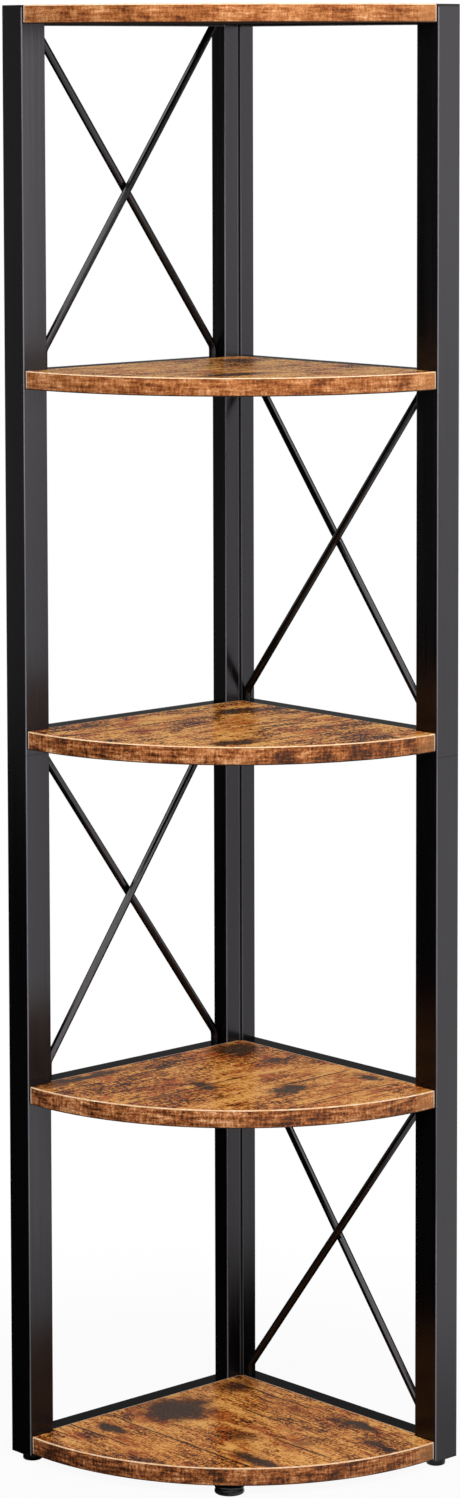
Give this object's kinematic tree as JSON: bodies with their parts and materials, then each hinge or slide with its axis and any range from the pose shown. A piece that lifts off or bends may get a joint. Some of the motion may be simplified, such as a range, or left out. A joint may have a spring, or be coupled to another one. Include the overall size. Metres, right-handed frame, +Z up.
{
  "type": "corner shelf unit",
  "caption": "Tall free-standing corner shelf unit with fan-shaped boards in two square-tube side frames, crossed brace rods and levelling feet.",
  "frame": {"origin": "under the middle of the plan, on the floor", "axes": "+Z up; the two walls are parallel to X and Y: one wall is past -X, the other past +Y; the curved fronts face +X and -Y"},
  "size_m": [0.315, 0.315, 1.448],
  "materials": {
    "frame_steel": "satin black powder coat",
    "board": "rustic brown plank decor, fine embossed grain, brown edge band",
    "plastic": "satin black moulded plastic",
    "zinc": "bright zinc plate"
  },
  "bodies": {
    "frame": {"board_foot_insert": "zinc", "left_board_bolt_1": "zinc", "left_board_bolt_2": "zinc", "left_board_bolt_3": "zinc", "left_board_bolt_4": "zinc", "left_board_bolt_5": "zinc", "left_brace_2_room_side": "frame_steel", "left_brace_2_wall_side": "frame_steel", "left_brace_4_room_side": "frame_steel", "left_brace_4_wall_side": "frame_steel", "left_front_foot_plug": "plastic", "left_front_post_lower": "frame_steel", "left_front_post_sleeve": "plastic", "left_front_post_upper": "frame_steel", "left_front_top_cap": "plastic", "left_rear_foot_plug": "plastic", "left_rear_post_lower": "frame_steel", "left_rear_post_sleeve": "plastic", "left_rear_post_upper": "frame_steel", "left_rear_top_cap": "plastic", "left_shelf_bar_1": "frame_steel", "left_shelf_bar_2": "frame_steel", "left_shelf_bar_3": "frame_steel", "left_shelf_bar_4": "frame_steel", "left_shelf_bar_5": "frame_steel", "right_board_bolt_1": "zinc", "right_board_bolt_2": "zinc", "right_board_bolt_3": "zinc", "right_board_bolt_4": "zinc", "right_board_bolt_5": "zinc", "right_brace_1_room_side": "frame_steel", "right_brace_1_wall_side": "frame_steel", "right_brace_3_room_side": "frame_steel", "right_brace_3_wall_side": "frame_steel", "right_front_foot_plug": "plastic", "right_front_post_lower": "frame_steel", "right_front_post_sleeve": "plastic", "right_front_post_upper": "frame_steel", "right_front_top_cap": "plastic", "right_rear_foot_plug": "plastic", "right_rear_post_lower": "frame_steel", "right_rear_post_sleeve": "plastic", "right_rear_post_upper": "frame_steel", "right_rear_top_cap": "plastic", "right_shelf_bar_1": "frame_steel", "right_shelf_bar_2": "frame_steel", "right_shelf_bar_3": "frame_steel", "right_shelf_bar_4": "frame_steel", "right_shelf_bar_5": "frame_steel", "shelf_board_1": "board", "shelf_board_2": "board", "shelf_board_3": "board", "shelf_board_4": "board", "shelf_board_5": "board"},
    "left_front_foot": {"left_front_foot": "plastic"},
    "left_rear_foot": {"left_rear_foot": "plastic"},
    "right_front_foot": {"right_front_foot": "plastic"},
    "right_rear_foot": {"right_rear_foot": "plastic"},
    "board_foot": {"board_foot": "plastic"}
  },
  "joints": [
    {"name": "left_front_foot_adjust", "type": "slide", "parent": "frame", "child": "left_front_foot", "axis": [0, 0, -1], "range_m": [-0.0015, 0.006]},
    {"name": "left_rear_foot_adjust", "type": "slide", "parent": "frame", "child": "left_rear_foot", "axis": [0, 0, -1], "range_m": [-0.0015, 0.006]},
    {"name": "right_front_foot_adjust", "type": "slide", "parent": "frame", "child": "right_front_foot", "axis": [0, 0, -1], "range_m": [-0.0015, 0.006]},
    {"name": "right_rear_foot_adjust", "type": "slide", "parent": "frame", "child": "right_rear_foot", "axis": [0, 0, -1], "range_m": [-0.0015, 0.006]},
    {"name": "board_foot_adjust", "type": "slide", "parent": "frame", "child": "board_foot", "axis": [0, 0, -1], "range_m": [-0.0015, 0.006]}
  ]
}
